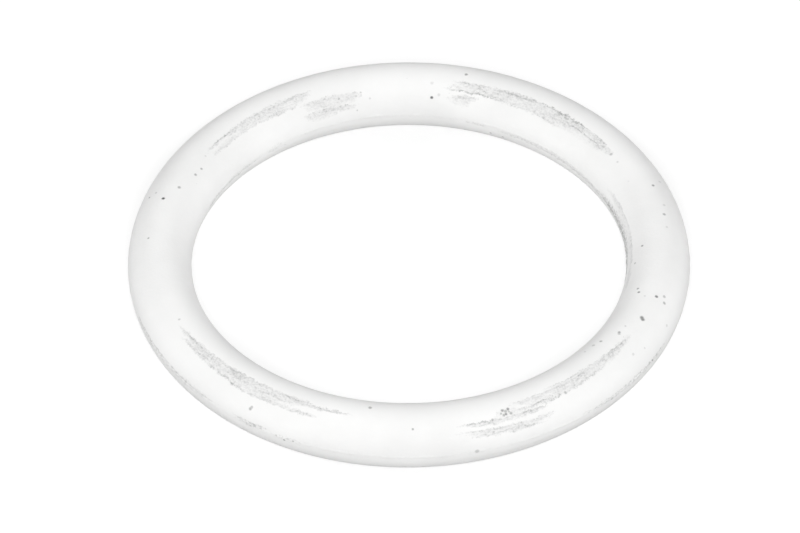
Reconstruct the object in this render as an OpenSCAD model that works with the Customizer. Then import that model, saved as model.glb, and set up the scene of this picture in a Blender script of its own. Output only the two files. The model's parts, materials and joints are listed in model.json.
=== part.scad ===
// Coupling gasket: a moulded rubber ring with a round section.
// The mould opens in the plane through the ring's middle, so its trimmed flash
// runs round the inner edge and the outer edge as a low, narrow ridge.
// The origin is the ring's centre in that plane, and +Z is the ring's axis.

/* [Ring] */
// Inside diameter of the round section, without the mould line
inside_d = 103; // [60:0.5:200]
// Diameter of the round section
section_d = 15; // [8:0.25:24]

/* [Mould line] */
// Width of the flat top of the trimmed flash
flash_w = 0.4; // [0.2:0.05:0.8]
// Height of the flash above the round section
flash_h = 0.15; // [0.05:0.01:0.3]
// Slope of the flash's two sides, from the ring's middle plane
flash_slope = 45; // [30:1:75]

/* [Hidden] */

// Segments round the ring and round its section
ring_segments = 240;
section_segments = 96;

section_r = section_d / 2;
// Radius from the ring's axis to the middle of the section
centre_r = inside_d / 2 + section_r;

// One trimmed flash in section, standing on the right-hand side of the round section.
// Its sides run down as far below the round surface as its top stands above it.
module flash_section() {
    side_run = 2 * flash_h / tan(flash_slope);
    translate([section_r, 0])
        polygon([
            [-flash_h, -flash_w / 2 - side_run],
            [flash_h, -flash_w / 2],
            [flash_h, flash_w / 2],
            [-flash_h, flash_w / 2 + side_run]
        ]);
}

// The ring's section about its own middle, with a flash on the outer and the inner side
module ring_section() {
    circle(r = section_r, $fn = section_segments);
    flash_section();
    rotate(180) flash_section();
}

module gasket_ring() {
    color("whitesmoke")
        rotate_extrude($fn = ring_segments)
            translate([centre_r, 0])
                ring_section();
}

gasket_ring();
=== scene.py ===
"""A round-section rubber ring for a pipe coupling, lying flat on a pale floor."""

import json
from math import cos, log, pi, radians, sin

import bpy
import numpy as np
from mathutils import Matrix, Vector


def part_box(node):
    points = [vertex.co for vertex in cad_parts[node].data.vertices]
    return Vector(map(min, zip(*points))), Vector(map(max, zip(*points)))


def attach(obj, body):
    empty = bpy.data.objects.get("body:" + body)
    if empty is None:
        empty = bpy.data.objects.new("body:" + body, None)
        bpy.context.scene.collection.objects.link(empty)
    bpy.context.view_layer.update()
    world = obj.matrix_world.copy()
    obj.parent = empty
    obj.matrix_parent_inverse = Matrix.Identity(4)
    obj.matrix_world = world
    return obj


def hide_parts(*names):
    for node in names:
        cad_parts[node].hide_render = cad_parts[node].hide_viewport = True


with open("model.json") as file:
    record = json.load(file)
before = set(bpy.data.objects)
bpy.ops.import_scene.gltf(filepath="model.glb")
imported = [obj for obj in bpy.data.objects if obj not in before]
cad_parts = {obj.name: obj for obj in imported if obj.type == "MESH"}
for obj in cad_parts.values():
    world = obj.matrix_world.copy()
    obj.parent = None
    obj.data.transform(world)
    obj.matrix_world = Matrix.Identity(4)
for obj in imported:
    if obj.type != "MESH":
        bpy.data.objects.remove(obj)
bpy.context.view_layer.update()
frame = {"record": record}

MM = 0.001
RING = "gasket_ring"

# The photograph's frame, and the ring in it: the middle of the ring and the radius across
# the view of the circle that runs through the middle of the rubber, in pixels
PHOTO_W = 800
PHOTO_H = 533
RING_MIDDLE_X = 408.65
RING_MIDDLE_Y = 262.3
RING_RADIUS_PX = 249.1

# The photograph's line of sight: height above the floor, the picture's small turn
# anticlockwise, and the camera's distance in radii of the ring's middle circle
SIGHT_ELEVATION = radians(43.3)
PICTURE_TURN = radians(0.27)
SIGHT_DISTANCE = 52.6

# The camera: the width of its sensor in millimetres, and how far it sees in metres
SENSOR_MM = 36.0
SIGHT_REACH = 100.0

# The ring's sizes, from the solid and its two mounts
mounts = {mount["name"]: mount["dims"] for mount in frame["record"]["mounts"]}
lowest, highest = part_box(RING)
section_r = (highest.z - lowest.z) / 2
inside_r = mounts["inside_edge"]["r_mm"] * MM
outside_r = mounts["outside_edge"]["r_mm"] * MM
flash_w = mounts["outside_edge"]["length_mm"] * MM
circle_r = (inside_r + outside_r) / 2
flash_h = outside_r - circle_r - section_r

# Width of each sloping side of the trimmed flash
flash_side_w = 2 * flash_h

# The soft ring lies slightly out of round, with three low lobes
LOBES = 3
LOBE_HEIGHT = 0.1 * MM
LOBE_ANGLE = radians(104)
mean_r = circle_r - LOBE_HEIGHT

# The skin's grid: steps round the ring, steps round the section, and how closely the
# section's steps crowd at the two mould lines (0 even, towards 1 crowded)
RING_STEPS = 700
SECTION_STEPS = 140
CROWDING = 0.84

# Places on the skin are two angles in degrees. The ring angle is 0 at the right, 90 at the far
# side and -90 at the near side. The section angle is 0 on the outer edge, 90 on the crown,
# 180 on the inner edge and -90 on the floor. The skin's grid has its seams at -90.

# Bands of painted grey grain. The rows on the crown are painted highlight marks, laid where
# highlights fall; the last two rows are painted shade along the inner edge at the right. Columns:
# ring angle from and to, section angle of the band's sharp edge from and to, width across the
# section, place along the band where it is widest (0 to 1), and darkness of its grain and of its
# sharp edge
HIGHLIGHT_AND_SHADE_BANDS = [
    (31, 80, 102.5, 108, 25, 0.4, 0.95, 0.6),
    (34, 66, 101.5, 103, 6, 0.45, 1.3, 1.1),
    (40, 61, 102.5, 104, 4, 0.5, 1.4, 1.2),
    (44, 59, 100.5, 103, 5, 0.4, 1.5, 1.0),
    (36, 49, 112.5, 111, 4, 0.5, 1.4, 1.0),
    (48, 81, 128.5, 125, -8, 0.4, 1.2, 0.4),
    (60, 79, 105, 109, 8, 0.4, 1.0, 0.6),
    (66, 80, 115, 117, 8, 0.5, 0.8, 0.3),
    (72, 80, 132, 136, 20, 0.5, 0.8, 0.3),
    (147, 114, 103, 104, 22, 0.72, 0.95, 0.5),
    (148, 117, 104, 108, 7, 0.5, 1.1, 0.7),
    (125, 118, 109, 112, 5, 0.5, 1.0, 0.5),
    (129, 118, 121, 123, 5, 0.5, 0.9, 0.4),
    (147, 126, 120, 123, -11, 0.5, 0.6, 0.2),
    (118, 108, 147, 148, 17, 0.5, 1.1, 0.2),
    (113, 103, 145, 150, 10, 0.5, 0.8, 0.4),
    (114, 102, 123, 128, 19, 0.6, 0.9, 0.2),
    (118, 108, 124, 131, 12, 0.5, 0.75, 0.1),
    (117, 105, 135, 138, 13, 0.5, 0.5, 0.1),
    (207, 225, 74, 81.5, -9, 0.6, 1.1, 0.5),
    (208, 248, 78, 82, -25, 0.6, 1.15, 0.5),
    (214, 240, 81.5, 83, -6, 0.5, 0.9, 0.3),
    (229, 234, 84.5, 83, -5, 0.5, 1.3, 0.4),
    (214, 244, 74.5, 70, -11, 0.55, 1.15, 0.0),
    (211, 233, 64.5, 55.5, 8, 0.5, 1.05, 0.0),
    (228, 250, 54.5, 56, 8, 0.5, 1.1, 0.1),
    (240, 258, 81, 75, -7, 0.35, 1.6, 1.2),
    (-31, -68, 75, 75, -18, 0.52, 0.95, 0.5),
    (-34, -60, 76, 80, -5, 0.5, 1.0, 0.5),
    (-42, -61, 62, 55, 7, 0.5, 1.1, 0.2),
    (-58, -67, 62, 61, -7, 0.5, 1.3, 0.4),
    (-59, -80, 52, 55, -9, 0.5, 1.25, 0.4),
    (-65, -72, 55, 55, 16, 0.5, 0.55, 0.0),
    (-58, -80, 35, 41, -13, 0.5, 0.8, 0.3),
    (-60, -77, 26, 32, -6, 0.5, 0.9, 0.3),
    # Painted shade: these two rows darken the inner edge at the right, along its outline, where the ring
    # is in shade
    (38, -12, 186, 167, -9, 0.6, 1.0, 0.5),
    (26, -18, 152, 141, 15, 0.5, 0.55, 0.3),
]

# Dirt that lies along the mould line, and painted shade on it, given in the same way
LINE_DIRT_AND_SHADE = [
    (66, 12, 189, 187, -13, 0.45, 1.0, 0.4),
    # Painted shade: this row darkens the inner edge at the right, along its outline
    (29, -15, 183, 177, -22, 0.5, 1.8, 0.5),
    (74, 69, 187, 185, -6, 0.5, 0.9, 0.4),
    (131, 125, 189, 187, -14, 0.5, 0.5, 0.1),
    (158, 133, 187, 187, -9, 0.4, 1.0, 0.4),
    (196, 228, 8, 7, -13, 0.4, 1.1, 0.4),
    (232, 240, 6, 7, -11, 0.5, 1.2, 0.4),
    (241, 248, 3, 4, -10, 0.5, 0.7, 0.2),
    (-55, -24, 4, 5, -12, 0.6, 1.0, 0.3),
]

# Half width, in degrees of section, of the strip that trimming leaves dull along the mould line
TRIMMED_REACH = 6.0

# Grit specks pressed into the skin: ring angle and section angle, width in mm, and darkness
GRIT = [
    (165.9, 82, 0.9, 1.0), (161.2, 101, 0.9, 0.5), (155.1, 115, 0.8, 0.5), (152.4, 117, 0.7, 0.5),
    (148.4, 108, 0.6, 0.2), (164.8, 50.5, 0.6, 0.5), (163.8, 62.5, 0.7, 0.3), (178.8, 69.5, 0.6, 0.5),
    (83.8, 143, 0.8, 0.9), (84.0, 116, 0.9, 0.15), (82.0, 137, 0.8, 0.2), (76.3, 88, 0.9, 0.6),
    (31.5, 107.5, 0.9, 0.4), (28.4, 108, 0.7, 0.2), (21.2, 112, 0.5, 0.1), (17.7, 74, 0.8, 0.6),
    (19.4, 54, 0.9, 0.2), (11.2, 68, 0.8, 0.2), (8.0, 73, 0.9, 0.5), (3.9, 72.5, 0.7, 0.2),
    (-1.6, 120.5, 0.7, 0.6), (-6.8, 134.5, 0.7, 0.4), (206.6, 80, 0.7, 0.3), (235.4, 32, 0.9, 0.5),
    (235.6, 36, 0.8, 0.4), (237.1, 3, 0.8, 0.4), (236.1, -1, 0.7, 0.3), (242.1, 1, 0.6, 0.3),
    (243.9, -4, 0.6, 0.6), (245.9, 0, 0.5, 0.4), (260.9, 97, 1.0, 0.5), (-89.3, 55, 0.6, 0.5),
    (-76.3, 1, 1.2, 0.35), (-72.5, 33, 0.6, 0.3), (-72.2, 55, 0.7, 0.4), (-68.9, 64, 0.9, 0.4),
    (-69.5, 67, 0.8, 0.6), (-68.2, 67, 0.8, 0.7), (-69.0, 59, 0.7, 0.7), (-70.0, 62, 0.6, 0.4),
    (-68.2, 62, 0.5, 0.4), (-69.5, 58, 0.8, 0.5), (-67.9, 58, 0.8, 0.5), (-54.6, 57, 0.8, 0.45),
    (-44.4, -2, 0.9, 0.3), (-30.9, 2, 0.6, 0.6), (-42.9, 112, 0.6, 0.3), (-39.9, 111, 0.9, 0.3),
    (-37.9, 106, 0.8, 0.5), (-33.6, 89, 0.8, 0.4), (-33.2, 91, 0.8, 0.6), (-30.7, 90, 0.5, 0.3),
    (-26.3, 75, 1.1, 0.75), (-26.6, 72, 1.1, 0.75), (-19.1, 53, 0.9, 0.5), (-17.5, 58, 0.9, 0.4),
    (-18.7, 71, 0.9, 0.8), (-18.7, 105, 0.7, 0.7), (-17.4, 110, 0.7, 0.6), (-19.7, 91, 0.6, 0.2),
    (-22.9, 26, 0.8, 0.2), (-35.4, 44, 0.8, 0.2), (-31.9, 36, 0.6, 0.2), (64.1, 203.5, 0.7, 0.5),
    (67.6, 202.5, 0.7, 0.4), (103.5, 161, 0.5, 0.3), (102.0, 129, 0.5, 0.3), (99.8, 142, 0.6, 0.2),
    (107.8, 133, 0.6, 0.4),
]

# The trimmed flash's height as a share of the full one: its middle value, how far it swings,
# and the least that is left
FLASH_SHARE = 0.3
FLASH_SWING = 0.25
FLASH_LEAST = 0.06

# Its waves, by their number round the ring, how far its middle wanders off the mould line, and
# the seeds of both for the outer and the inner edge
FLASH_WAVES = [7, 13, 22, 37, 61, 89, 113]
FLASH_WANDER = 0.06 * MM
HEIGHT_SEEDS = (11, 12)
WANDER_SEEDS = (13, 14)

# The texture map that carries both angles as shares of a turn, and the share at angle 0
SKIN_MAP = "round_ring_and_section"
MAP_START = 0.25


def wander(angle, waves, seed):
    """A closed curve of unit size round the ring: the sum of sines of the whole numbers in waves,
    each with its own random phase, over the square root of half their count."""
    phases = np.random.default_rng(seed).uniform(0, 2 * pi, len(waves))
    turns = np.multiply.outer(angle, np.array(waves, float))
    return np.sin(turns + phases).sum(-1) / np.sqrt(len(waves) / 2)


def steps_of_a_turn(count):
    """Even steps through one turn, from a quarter turn before 0 to three quarters after it."""
    return np.linspace(-pi / 2, 3 * pi / 2, count, endpoint=False)


def crowded_section():
    """Steps round the section: even steps t, moved by -(crowding / 2) sin 2t, so that they
    crowd at the outer edge, 0, and the inner edge, half a turn."""
    even = steps_of_a_turn(SECTION_STEPS)
    return even - CROWDING / 2 * np.sin(2 * even)


def trimmed_flash(ring, section):
    """Height of the trimmed flash as a share of its full height: a ridge along both edges with a
    flat top and sides that fall as the smooth step 3s^2 - 2s^3. Its height is a share of the full
    one that follows a sum of sines round the ring, cut off at its two ends, and its middle
    wanders a little up and down."""
    outer = np.cos(section) > 0
    height = np.where(outer, *[wander(ring, FLASH_WAVES, seed) for seed in HEIGHT_SEEDS])
    middle = np.where(outer, *[wander(ring, FLASH_WAVES, seed) for seed in WANDER_SEEDS])
    height = np.clip(FLASH_SHARE + FLASH_SWING * height, FLASH_LEAST, 1.0)
    from_edge = (section + pi / 2) % pi - pi / 2
    across = from_edge * section_r - FLASH_WANDER * middle
    side = np.clip((flash_w / 2 + flash_side_w - np.abs(across)) / flash_side_w, 0, 1)
    return height * side * side * (3 - 2 * side)


def skin_point(ring, section, height):
    """Point of the skin: a circle of radius section_r + height carried round a circle whose
    radius is largest at three lobes, R(a) = circle_r - lobe (1 - cos 3(a - lobe angle))."""
    carrier = circle_r - LOBE_HEIGHT * (1 - np.cos(LOBES * (ring - LOBE_ANGLE)))
    out = carrier + (section_r + height) * np.cos(section)
    up = (section_r + height) * np.sin(section)
    return np.stack(np.broadcast_arrays(out * np.cos(ring), out * np.sin(ring), up), -1)


def closed_grid(name, points, ring_share, section_share):
    """A mesh of four-sided faces over a grid of points that closes on itself both ways: a face
    joins each point to the next one round the ring, the next one round the section and the one
    past both. Its texture map holds the shares of a turn, which end at 1 on the last faces."""
    rows, columns = points.shape[:2]
    here = np.arange(rows * columns).reshape(rows, columns)
    ahead = np.roll(here, -1, 0)
    faces = np.stack([here, ahead, np.roll(ahead, -1, 1), np.roll(here, -1, 1)], -1)
    mesh = bpy.data.meshes.new(name)
    mesh.from_pydata(points.reshape(-1, 3), [], faces.reshape(-1, 4))
    u, v = np.meshgrid(np.append(ring_share, 1.0), np.append(section_share, 1.0), indexing="ij")
    uv = np.stack([u, v], -1)
    corners = np.stack([uv[:-1, :-1], uv[1:, :-1], uv[1:, 1:], uv[:-1, 1:]], 2)
    layer = mesh.uv_layers.new(name=SKIN_MAP)
    layer.data.foreach_set("uv", corners.astype(np.float32).ravel())
    mesh.shade_smooth()
    piece = bpy.data.objects.new(name, mesh)
    bpy.context.collection.objects.link(piece)
    return piece


def ring_skin():
    """The ring's whole skin: the skin point at every step round the ring and every step round the
    section, raised by the trimmed flash."""
    ring = steps_of_a_turn(RING_STEPS)
    section = crowded_section()
    height = flash_h * trimmed_flash(ring[:, None], section[None, :])
    points = skin_point(ring[:, None], section[None, :], height)
    ring_share, section_share = [angle / (2 * pi) + MAP_START for angle in (ring, section)]
    return closed_grid("ring_skin", points, ring_share, section_share)


def feed(tree, source, socket):
    """Sets a socket to a number or colour, or links it to another socket."""
    if isinstance(source, (int, float, tuple)):
        socket.default_value = source
    else:
        tree.links.new(source, socket)


def math_node(tree, operation, *sources):
    """A Math node's result, from sockets or plain numbers."""
    node = tree.nodes.new("ShaderNodeMath")
    node.operation = operation
    for source, socket in zip(sources, node.inputs):
        feed(tree, source, socket)
    return node.outputs[0]


def held(tree, value):
    """A value held between 0 and 1. The nodes' own clamps are left off: the renderer puts them
    after all other nodes, so that a long shader runs out of room for what waits on them."""
    return math_node(tree, "MAXIMUM", math_node(tree, "MINIMUM", value, 1.0), 0.0)


def vector_node(tree, operation, *sources):
    """A Vector Math node."""
    node = tree.nodes.new("ShaderNodeVectorMath")
    node.operation = operation
    for source, socket in zip(sources, node.inputs):
        feed(tree, source, socket)
    return node


def noise_node(tree, place, scale, detail=3.0, roughness=0.5):
    """Noise over a place, with its scale in turns per unit."""
    node = tree.nodes.new("ShaderNodeTexNoise")
    node.inputs["Scale"].default_value = scale
    node.inputs["Detail"].default_value = detail
    node.inputs["Roughness"].default_value = roughness
    tree.links.new(place, node.inputs["Vector"])
    return node


def smooth_step(tree, value, low, high, out_low=0.0, out_high=1.0):
    """A smooth step of a value from low to high, which holds itself between its two ends."""
    node = tree.nodes.new("ShaderNodeMapRange")
    node.interpolation_type = "SMOOTHSTEP"
    node.clamp = False
    for source, socket in zip((value, low, high, out_low, out_high), node.inputs):
        feed(tree, source, socket)
    return node.outputs["Result"]


def blend_colours(tree, amount, below, above):
    """A colour covered by another in the share that the amount gives."""
    node = tree.nodes.new("ShaderNodeMix")
    node.data_type = "RGBA"
    feed(tree, amount, node.inputs["Factor"])
    feed(tree, below, node.inputs["A"])
    feed(tree, above, node.inputs["B"])
    return node.outputs["Result"]


def new_group(name, given, results):
    """A node group, with its given values and its results as sockets."""
    group = bpy.data.node_groups.new(name, "ShaderNodeTree")
    for side, sockets in (("INPUT", given), ("OUTPUT", results)):
        for socket, kind in sockets.items():
            group.interface.new_socket(socket, in_out=side, socket_type="NodeSocket" + kind)
    return group, group.nodes.new("NodeGroupInput").outputs, group.nodes.new("NodeGroupOutput").inputs


def place_group(tree, group, **given):
    """A node group's results, from sockets or plain values."""
    node = tree.nodes.new("ShaderNodeGroup")
    node.node_tree = group
    for name, source in given.items():
        feed(tree, source, node.inputs[name])
    return node.outputs


# A speck's mask starts at the first of these shares of its radius and is full at the second
SPECK_RIM = (1.25, 0.4)

# Noise that takes the specks out of round: turns per metre, and how far it reaches
RUFFLE_SCALE = 2500.0
RUFFLE_REACH = 0.3 * MM


def grit_speck_group():
    """A mask that has its darkness within a radius of a centre, with a soft rim."""
    group, given, result = new_group(
        "grit_speck",
        {"Place": "Vector", "Centre": "Vector", "Radius": "Float", "Darkness": "Float"},
        {"Mask": "Float"},
    )
    away = vector_node(group, "DISTANCE", given["Place"], given["Centre"])
    share = math_node(group, "DIVIDE", away.outputs["Value"], given["Radius"])
    inside = smooth_step(group, share, *SPECK_RIM)
    feed(group, math_node(group, "MULTIPLY", inside, given["Darkness"]), result["Mask"])
    return group


def all_grit(tree, place):
    """The strongest mask of all the grit specks, each on the skin at its two angles. The place is
    first moved a little by noise, so that no speck is quite round."""
    ruffled = noise_node(tree, place, RUFFLE_SCALE).outputs["Color"]
    offset = vector_node(tree, "MULTIPLY_ADD", ruffled, (RUFFLE_REACH,) * 3, (-RUFFLE_REACH / 2,) * 3)
    moved = vector_node(tree, "ADD", place, offset.outputs[0]).outputs[0]
    group = grit_speck_group()
    total = 0.0
    for ring_deg, section_deg, width, darkness in GRIT:
        centre = tuple(skin_point(radians(ring_deg), radians(section_deg), 0.0).ravel())
        radius = width / 2 * MM
        speck = place_group(tree, group, Place=moved, Centre=centre, Radius=radius, Darkness=darkness)
        total = math_node(tree, "MAXIMUM", total, speck["Mask"])
    return total


# A band's mask starts and is full at these shares of its width, at its sharp edge and at its
# far side. It sinks by a share across its width, and fades in between two values of its bulge.
SHARP_EDGE = (-0.2, 0.06)
FAR_SIDE = (1.15, 0.6)
SINKING = 0.5
FADE_IN = (0.1, 0.7)
LEAST_BULGE = 0.02

# Half width, in degrees of section, of the line along a band's sharp edge
EDGE_REACH = 3.0


def band_mask_group():
    """A band along the skin. With t from 0 to 1 along it, its sharp edge runs straight from one
    section angle to the other, and its width is the widest one times its bulge, the root of
    sin(pi t^Skew). Band is 1 by the sharp edge, sinks to a half across the band and fades out at
    the far side, and Edge is a narrow bell on the sharp edge."""
    group, given, result = new_group(
        "band_mask",
        {"Ring": "Float", "Section": "Float", "From": "Float", "To": "Float", "EdgeFrom": "Float",
         "EdgeTo": "Float", "Width": "Float", "Skew": "Float"},
        {"Band": "Float", "Edge": "Float"},
    )
    run = math_node(group, "SUBTRACT", given["Ring"], given["From"])
    span = math_node(group, "SUBTRACT", given["To"], given["From"])
    along = held(group, math_node(group, "DIVIDE", run, span))
    edge_span = math_node(group, "SUBTRACT", given["EdgeTo"], given["EdgeFrom"])
    edge = math_node(group, "MULTIPLY_ADD", edge_span, along, given["EdgeFrom"])
    from_edge = math_node(group, "SUBTRACT", given["Section"], edge)
    skewed = math_node(group, "POWER", along, given["Skew"])
    arch = math_node(group, "SINE", math_node(group, "MULTIPLY", skewed, pi))
    bulge = math_node(group, "SQRT", math_node(group, "MAXIMUM", arch, 0.0))
    width = math_node(group, "MULTIPLY", given["Width"], math_node(group, "MAXIMUM", bulge, LEAST_BULGE))
    across = math_node(group, "DIVIDE", from_edge, width)
    near_side = smooth_step(group, across, *SHARP_EDGE)
    far_side = smooth_step(group, across, *FAR_SIDE)
    inside = math_node(group, "MULTIPLY", near_side, far_side)
    sinking = held(group, math_node(group, "MULTIPLY_ADD", across, -SINKING, 1.0))
    shown = smooth_step(group, bulge, *FADE_IN)
    band = math_node(group, "MULTIPLY", math_node(group, "MULTIPLY", inside, sinking), shown)
    off_edge = math_node(group, "ABSOLUTE", from_edge)
    line = math_node(group, "MULTIPLY", smooth_step(group, off_edge, EDGE_REACH, 0.0), shown)
    feed(group, band, result["Band"])
    feed(group, line, result["Edge"])
    return group


def all_bands(tree, group, bands, ring, section):
    """The strongest Band and the strongest Edge of a list of bands. A band's Skew is log 1/2 over
    the log of its widest place, so that its bulge peaks there."""
    band_total, edge_total = 0.0, 0.0
    for start, stop, edge_from, edge_to, width, widest, band_dark, edge_dark in bands:
        skew = log(0.5) / log(widest)
        masks = place_group(
            tree, group, Ring=ring, Section=section, From=float(start), To=float(stop),
            EdgeFrom=float(edge_from), EdgeTo=float(edge_to), Width=float(width), Skew=skew,
        )
        band = math_node(tree, "MULTIPLY", masks["Band"], band_dark)
        edge = math_node(tree, "MULTIPLY", masks["Edge"], edge_dark)
        band_total = math_node(tree, "MAXIMUM", band_total, band)
        edge_total = math_node(tree, "MAXIMUM", edge_total, edge)
    return band_total, edge_total


# The grain's scales, for the painted bands and the dirt: dots in turns per metre, and the rest in
# turns per millimetre, which are then drawn out along the ring by a factor. The streaks have a scale
# along and one across.
DOT_SCALE = 2300.0
CLUMP_SCALE = 2.3
STREAK_SCALES = (0.3, 1.4, 1.0)
CELL_SCALE = 0.6
PATCH_SCALE = 0.3
DRAWN_OUT = 2.2

# Values of the noise between which each of them fades in, the distance from a cell's border at
# which its line starts, and the strength of the painted marks in the weakest and the strongest patch
DOTS_SHOW = (0.47, 0.66)
CLUMPS_SHOW = (0.44, 0.60)
STREAKS_SHOW = (0.40, 0.62)
PATCHES_SHOW = (0.35, 0.65)
BORDER_REACH = 0.16
PATCH_STRENGTHS = (0.65, 1.2)


def scaly_grain_group():
    """The grain of the painted bands and of the dirt: fine dark dots, clumps and thin borders of
    scale-shaped cells that are drawn out along the ring, long narrow streaks, and patches where it is
    weaker and stronger."""
    group, given, result = new_group(
        "scaly_grain",
        {"Place": "Vector", "Lengthwise": "Vector"},
        {"Dots": "Float", "Clumps": "Float", "Scales": "Float", "Streaks": "Float", "Patches": "Float"},
    )
    place, lengthwise = given["Place"], given["Lengthwise"]
    dots = noise_node(group, place, DOT_SCALE, detail=2.0, roughness=0.6).outputs["Fac"]
    clumps = noise_node(group, lengthwise, CLUMP_SCALE, detail=2.0, roughness=0.6).outputs["Fac"]
    combed = vector_node(group, "MULTIPLY", lengthwise, STREAK_SCALES).outputs[0]
    streaks = noise_node(group, combed, scale=1.0, detail=3.0, roughness=0.6).outputs["Fac"]
    patches = noise_node(group, lengthwise, PATCH_SCALE, detail=2.0).outputs["Fac"]
    cells = group.nodes.new("ShaderNodeTexVoronoi")
    cells.feature = "DISTANCE_TO_EDGE"
    cells.inputs["Scale"].default_value = CELL_SCALE
    feed(group, lengthwise, cells.inputs["Vector"])
    feed(group, smooth_step(group, dots, *DOTS_SHOW), result["Dots"])
    feed(group, smooth_step(group, clumps, *CLUMPS_SHOW), result["Clumps"])
    feed(group, smooth_step(group, cells.outputs["Distance"], BORDER_REACH, 0.0), result["Scales"])
    feed(group, smooth_step(group, streaks, *STREAKS_SHOW), result["Streaks"])
    feed(group, smooth_step(group, patches, *PATCHES_SHOW, *PATCH_STRENGTHS), result["Patches"])
    return group


# A full turn in degrees
FULL_TURN = 360.0

# Noise that gives the bands ragged edges: turns per metre, and how far it moves a place from one
# side to the other, in degrees of ring and of section
RAGGED_SCALE = 700.0
RING_SHAKE = 8.0
SECTION_SHAKE = 20.0


def shaken_angles(tree, shares, place):
    """The ring angle and the section angle in degrees: a share of a turn times 360, less the
    map's start, plus noise about zero."""
    ragged = noise_node(tree, place, RAGGED_SCALE, detail=4.0, roughness=0.85)
    shake = tree.nodes.new("ShaderNodeSeparateColor")
    tree.links.new(ragged.outputs["Color"], shake.inputs[0])
    angles = []
    for share, noise, reach in zip(shares, shake.outputs, (RING_SHAKE, SECTION_SHAKE)):
        angle = math_node(tree, "MULTIPLY_ADD", share, FULL_TURN, -MAP_START * FULL_TURN)
        stray = math_node(tree, "MULTIPLY_ADD", noise, reach, -reach / 2)
        angles.append(math_node(tree, "ADD", angle, stray))
    return angles


# Darkness of a painted band, highlight marks and shade alike: everywhere in it, and added by its dots,
# clumps and cell borders, then its share between the streaks, and what the streaks add to that share
PAINTED_BAND_EVERYWHERE = 0.16
PAINTED_BAND_BY_DOTS = 0.3
PAINTED_BAND_BY_CLUMPS = 0.22
PAINTED_BAND_BY_BORDERS = 0.12
BETWEEN_STREAKS = 0.82
STREAK_GAIN = 0.4

# Darkness of the streaks along a band's sharp edge, and what the band's grain adds to it
EDGE_EVERYWHERE = 0.17
EDGE_BY_GRAIN = 0.6


def highlight_and_shade_mask(tree, group, grain, ring, section):
    """Darkness of the painted bands, broken up by their grain, with streaks along sharp edges: painted
    highlight marks on the crown and painted shade on the inner edge at the right.
    """
    band, edge = all_bands(tree, group, HIGHLIGHT_AND_SHADE_BANDS, ring, section)
    texture = math_node(tree, "MULTIPLY_ADD", grain["Dots"], PAINTED_BAND_BY_DOTS, PAINTED_BAND_EVERYWHERE)
    texture = math_node(tree, "MULTIPLY_ADD", grain["Clumps"], PAINTED_BAND_BY_CLUMPS, texture)
    texture = math_node(tree, "MULTIPLY_ADD", grain["Scales"], PAINTED_BAND_BY_BORDERS, texture)
    texture = math_node(tree, "MULTIPLY", texture, grain["Patches"])
    combed = math_node(tree, "MULTIPLY_ADD", grain["Streaks"], STREAK_GAIN, BETWEEN_STREAKS)
    painted_bands = math_node(tree, "MULTIPLY", band, math_node(tree, "MULTIPLY", texture, combed))
    edge_tone = math_node(tree, "MULTIPLY_ADD", texture, EDGE_BY_GRAIN, EDGE_EVERYWHERE)
    edge_tone = math_node(tree, "MULTIPLY", grain["Streaks"], edge_tone)
    return held(tree, math_node(tree, "MULTIPLY_ADD", edge, edge_tone, painted_bands))


# Darkness of the dirt along the mould line and of the painted shade among it: everywhere in it, added
# by its clumps and dots, and of its edge's streaks. The last is the share of it that the trimmed strip
# has all round.
LINE_MARK_EVERYWHERE = 0.02
LINE_MARK_BY_CLUMPS = 0.32
LINE_MARK_BY_DOTS = 0.35
LINE_MARK_EDGE = 0.32
TRIMMED_DIRT = 0.12


def dirt_and_shade_mask(tree, group, grain, ring, section):
    """Darkness of the dirt along the mould line, and of the painted shade on the inner edge at the
    right, in clumps and dots, with streaks on its edge. The trimmed strip is found by the angle off
    the nearest mould line, which lie half a turn apart."""
    dirt_and_shade, dirt_and_shade_edge = all_bands(tree, group, LINE_DIRT_AND_SHADE, ring, section)
    off_line = math_node(tree, "PINGPONG", math_node(tree, "ABSOLUTE", section), FULL_TURN / 4)
    trimmed = smooth_step(tree, off_line, TRIMMED_REACH, 0.0)
    dirt_and_shade = math_node(tree, "MAXIMUM", dirt_and_shade, math_node(tree, "MULTIPLY", trimmed, TRIMMED_DIRT))
    tone = math_node(tree, "MULTIPLY_ADD", grain["Clumps"], LINE_MARK_BY_CLUMPS, LINE_MARK_EVERYWHERE)
    tone = math_node(tree, "MULTIPLY_ADD", grain["Dots"], LINE_MARK_BY_DOTS, tone)
    dirt_and_shade = math_node(tree, "MULTIPLY", dirt_and_shade, tone)
    dirt_and_shade_edge = math_node(tree, "MULTIPLY", dirt_and_shade_edge, grain["Streaks"])
    return held(tree, math_node(tree, "MULTIPLY_ADD", dirt_and_shade_edge, LINE_MARK_EDGE, dirt_and_shade))


# Pits: cells per metre, the cells' random values from which a pit grows and at which it is
# largest, the largest pit's radius in cells, how fast a pit deepens, and how much painted shade darkens
# it
PIT_SCALE = 420.0
PIT_CHOICE = (0.72, 1.0)
PIT_RADIUS = 0.085
PIT_STEEPNESS = 25.0
PIT_PAINTED_SHADE = 0.3


def pit_mask(tree, place):
    """Small round pits in the middle of some cells: their depth is the cell's pit radius less the
    distance from its middle, times the steepness, held between 0 and 1."""
    cells = tree.nodes.new("ShaderNodeTexVoronoi")
    cells.inputs["Scale"].default_value = PIT_SCALE
    tree.links.new(place, cells.inputs["Vector"])
    choice = tree.nodes.new("ShaderNodeSeparateColor")
    tree.links.new(cells.outputs["Color"], choice.inputs[0])
    radius = smooth_step(tree, choice.outputs[0], *PIT_CHOICE, 0.0, PIT_RADIUS)
    depth = math_node(tree, "SUBTRACT", radius, cells.outputs["Distance"])
    return held(tree, math_node(tree, "MULTIPLY", depth, PIT_STEEPNESS))


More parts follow.
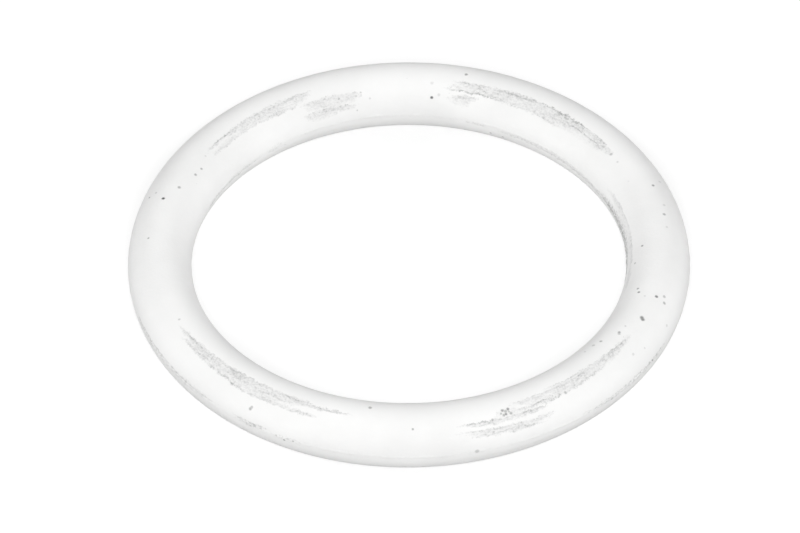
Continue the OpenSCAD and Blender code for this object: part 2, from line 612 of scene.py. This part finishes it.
# Bump: the scales of its fine grain and slow swell in turns per metre, the height of each
# feature in steps, the size of a step, and how strongly it shows
FINE_SCALE = 1500.0
SWELL_SCALE = 90.0
FINE_HEIGHT = 5.0
SWELL_HEIGHT = 4.0
PIT_DEPTH = 2.0
GRIT_HEIGHT = 3.0
BUMP_STEP = 0.02 * MM
BUMP_STRENGTH = 0.6


def surface_normal(tree, place, pits, grit):
    """The normal of the finish: a fine grain on a slow swell, with pits sunk in and grit raised."""
    fine = noise_node(tree, place, FINE_SCALE, detail=3.0, roughness=0.6).outputs["Fac"]
    swell = noise_node(tree, place, SWELL_SCALE, detail=2.0).outputs["Fac"]
    height = math_node(tree, "MULTIPLY", fine, FINE_HEIGHT)
    height = math_node(tree, "MULTIPLY_ADD", swell, SWELL_HEIGHT, height)
    height = math_node(tree, "MULTIPLY_ADD", pits, -PIT_DEPTH, height)
    height = math_node(tree, "MULTIPLY_ADD", grit, GRIT_HEIGHT, height)
    bump = tree.nodes.new("ShaderNodeBump")
    bump.inputs["Strength"].default_value = BUMP_STRENGTH
    bump.inputs["Distance"].default_value = BUMP_STEP
    tree.links.new(height, bump.inputs["Height"])
    return bump.outputs["Normal"]


WHITE_RUBBER = (0.86, 0.86, 0.855, 1.0)
CLOUDED_RUBBER = (0.82, 0.82, 0.815, 1.0)
# Grey of the painted bands (highlight marks and shade) and of the painted shade in the pits
PAINTED_MARK_GREY = (0.38, 0.38, 0.38, 1.0)
# Grey of the dirt and of the painted shade along the inner edge at the right
DIRT_AND_SHADE_GREY = (0.34, 0.34, 0.335, 1.0)
GRIT_GREY = (0.10, 0.10, 0.10, 1.0)

# Clouds in the white: turns per metre, and the noise's values between which they fade in
CLOUD_SCALE = 55.0
CLOUDS_SHOW = (0.3, 0.75)

# Roughness: the plain rubber's, what the clouds add and what the painted bands add, then the gloss level
PLAIN_ROUGHNESS = 0.65
CLOUD_ROUGHNESS = 0.15
PAINTED_BAND_ROUGHNESS = 0.2
GLOSS_LEVEL = 0.12


def white_moulded_rubber():
    """Near-white moulded rubber: clouded tone, painted highlight marks on the crown as bands of scaly
    grain, dirt along the mould line with painted shade on the inner edge at the right, grit specks,
    fine pits darkened by painted shade, and a fine grain in the surface."""
    material = bpy.data.materials.new("white_moulded_rubber")
    material.use_nodes = True
    tree = material.node_tree
    shader = tree.nodes["Principled BSDF"]
    place = tree.nodes.new("ShaderNodeTexCoord").outputs["Object"]
    skin_map = tree.nodes.new("ShaderNodeUVMap")
    skin_map.uv_map = SKIN_MAP
    shares = tree.nodes.new("ShaderNodeSeparateXYZ")
    tree.links.new(skin_map.outputs["UV"], shares.inputs[0])
    ring, section = shaken_angles(tree, shares.outputs, place)

    # Drawn-out millimetres round the ring, and millimetres round the section
    drawn_out = (2 * pi * circle_r / MM / DRAWN_OUT, 2 * pi * section_r / MM, 0.0)
    lengthwise = vector_node(tree, "MULTIPLY", skin_map.outputs["UV"], drawn_out).outputs[0]
    grain = place_group(tree, scaly_grain_group(), Place=place, Lengthwise=lengthwise)

    band_group = band_mask_group()
    painted_bands = highlight_and_shade_mask(tree, band_group, grain, ring, section)
    dirt_and_shade = dirt_and_shade_mask(tree, band_group, grain, ring, section)
    grit = all_grit(tree, place)
    pits = pit_mask(tree, place)
    clouds = noise_node(tree, place, CLOUD_SCALE, detail=5.0, roughness=0.6).outputs["Fac"]

    colour = blend_colours(tree, smooth_step(tree, clouds, *CLOUDS_SHOW), WHITE_RUBBER, CLOUDED_RUBBER)
    # Painted highlight marks on the crown and painted shade on the inner edge at the right
    colour = blend_colours(tree, painted_bands, colour, PAINTED_MARK_GREY)
    # Dirt along the mould line, with painted shade on the inner edge at the right
    colour = blend_colours(tree, dirt_and_shade, colour, DIRT_AND_SHADE_GREY)
    # Painted shade: the pits are darkened in colour
    colour = blend_colours(tree, math_node(tree, "MULTIPLY", pits, PIT_PAINTED_SHADE), colour, PAINTED_MARK_GREY)
    colour = blend_colours(tree, grit, colour, GRIT_GREY)
    tree.links.new(colour, shader.inputs["Base Color"])

    rough = math_node(tree, "MULTIPLY_ADD", clouds, CLOUD_ROUGHNESS, PLAIN_ROUGHNESS)
    rough = math_node(tree, "MULTIPLY_ADD", painted_bands, PAINTED_BAND_ROUGHNESS, rough)
    tree.links.new(rough, shader.inputs["Roughness"])
    shader.inputs["Specular IOR Level"].default_value = GLOSS_LEVEL
    tree.links.new(surface_normal(tree, place, pits, grit), shader.inputs["Normal"])
    return material


# The floor: half its side in metres, its matt colour where it is seen, the colour that throws
# light back at the ring, and the white that is added where it is seen
FLOOR_REACH = 9.0
FLOOR_SEEN = (0.38, 0.38, 0.38, 1.0)
FLOOR_BOUNCING = (0.66, 0.66, 0.66, 1.0)
FLOOR_WHITENING = 0.67


def seen_directly(tree):
    """1 for what the camera sees itself, in a reflection or through glass, and 0 for other light."""
    path = tree.nodes.new("ShaderNodeLightPath")
    seen = math_node(tree, "MAXIMUM", path.outputs["Is Camera Ray"], path.outputs["Is Glossy Ray"])
    return math_node(tree, "MAXIMUM", seen, path.outputs["Is Transmission Ray"])


def pale_floor():
    """A plain floor at the ring's lowest point. It throws light back at the ring as a pale floor does.
    Where it is seen, a darker matt colour takes the shadow and a plain white is added to it, so
    that the open floor comes out white and the shadow soft."""
    bpy.ops.mesh.primitive_plane_add(size=2 * FLOOR_REACH, location=(0, 0, lowest.z))
    floor = bpy.context.object
    floor.name = "pale_floor"
    material = bpy.data.materials.new("white_floor")
    material.use_nodes = True
    tree = material.node_tree
    tree.nodes.clear()
    matt = tree.nodes.new("ShaderNodeBsdfDiffuse")
    seen = seen_directly(tree)
    tree.links.new(blend_colours(tree, seen, FLOOR_BOUNCING, FLOOR_SEEN), matt.inputs["Color"])
    white = tree.nodes.new("ShaderNodeEmission")
    strength = math_node(tree, "MULTIPLY", seen, FLOOR_WHITENING)
    tree.links.new(strength, white.inputs["Strength"])
    both = tree.nodes.new("ShaderNodeAddShader")
    tree.links.new(matt.outputs[0], both.inputs[0])
    tree.links.new(white.outputs[0], both.inputs[1])
    output = tree.nodes.new("ShaderNodeOutputMaterial")
    tree.links.new(both.outputs[0], output.inputs["Surface"])
    floor.data.materials.append(material)


# Strength of the fill from all round
WORLD_FILL = 0.03


def white_surround():
    """An even pale fill from all round, which is plain white where it is seen."""
    world = bpy.data.worlds.new("pale_surround")
    bpy.context.scene.world = world
    world.use_nodes = True
    tree = world.node_tree
    backdrop = tree.nodes["Background"]
    backdrop.inputs["Color"].default_value = (1, 1, 1, 1)
    strength = math_node(tree, "MAXIMUM", seen_directly(tree), WORLD_FILL)
    tree.links.new(strength, backdrop.inputs["Strength"])


# Softboxes: azimuth and height in degrees, distance and width in metres, and power in watts.
# Azimuth 0 is the camera's side and 90 the right-hand side.
SOFTBOXES = {
    "front_softbox": (0, 41, 2.4, 0.9, 49),
    "left_softbox": (-100, 29, 2.0, 0.8, 17),
    "right_softbox": (100, 29, 2.0, 0.8, 17),
    "back_softbox": (180, 42, 2.0, 0.8, 5),
}


def towards(azimuth, elevation):
    """Unit vector from the ring's middle at two angles in radians, azimuth 0 being the camera's side."""
    flat = cos(elevation)
    return Vector((sin(azimuth) * flat, -cos(azimuth) * flat, sin(elevation)))


def softboxes():
    """Square lamps that look at the ring's middle."""
    for name, (azimuth, elevation, distance, width, power) in SOFTBOXES.items():
        lamp = bpy.data.lights.new(name, "AREA")
        lamp.size = width
        lamp.energy = power
        holder = bpy.data.objects.new(name, lamp)
        bpy.context.collection.objects.link(holder)
        way = towards(radians(azimuth), radians(elevation))
        holder.location = way * distance
        holder.rotation_euler = way.to_track_quat("Z", "Y").to_euler()
        holder.visible_camera = False


def photo_camera():
    """A long lens on the photograph's line of sight. Its picture is turned by PICTURE_TURN,
    and it stands aside so that the ring's middle lies where the photograph has it."""
    back = towards(0, SIGHT_ELEVATION)
    level_right = Vector((1, 0, 0))
    level_up = back.cross(level_right)
    right = level_right * cos(PICTURE_TURN) - level_up * sin(PICTURE_TURN)
    up = level_right * sin(PICTURE_TURN) + level_up * cos(PICTURE_TURN)
    pixel = mean_r / RING_RADIUS_PX
    distance = SIGHT_DISTANCE * mean_r
    aside = right * (RING_MIDDLE_X - PHOTO_W / 2) - up * (RING_MIDDLE_Y - PHOTO_H / 2)
    lens = bpy.data.cameras.new("photo_camera")
    lens.sensor_width = SENSOR_MM
    lens.lens = SENSOR_MM * distance / (PHOTO_W * pixel)
    lens.clip_end = SIGHT_REACH
    camera = bpy.data.objects.new("photo_camera", lens)
    bpy.context.collection.objects.link(camera)
    turn = Matrix((right, up, back)).transposed().to_4x4()
    camera.matrix_world = Matrix.Translation(back * distance - aside * pixel) @ turn
    bpy.context.scene.camera = camera


skin = ring_skin()
skin.data.materials.append(white_moulded_rubber())
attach(skin, "root")
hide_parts(RING)

pale_floor()
white_surround()
softboxes()
photo_camera()
bpy.context.scene.view_settings.view_transform = "Standard"
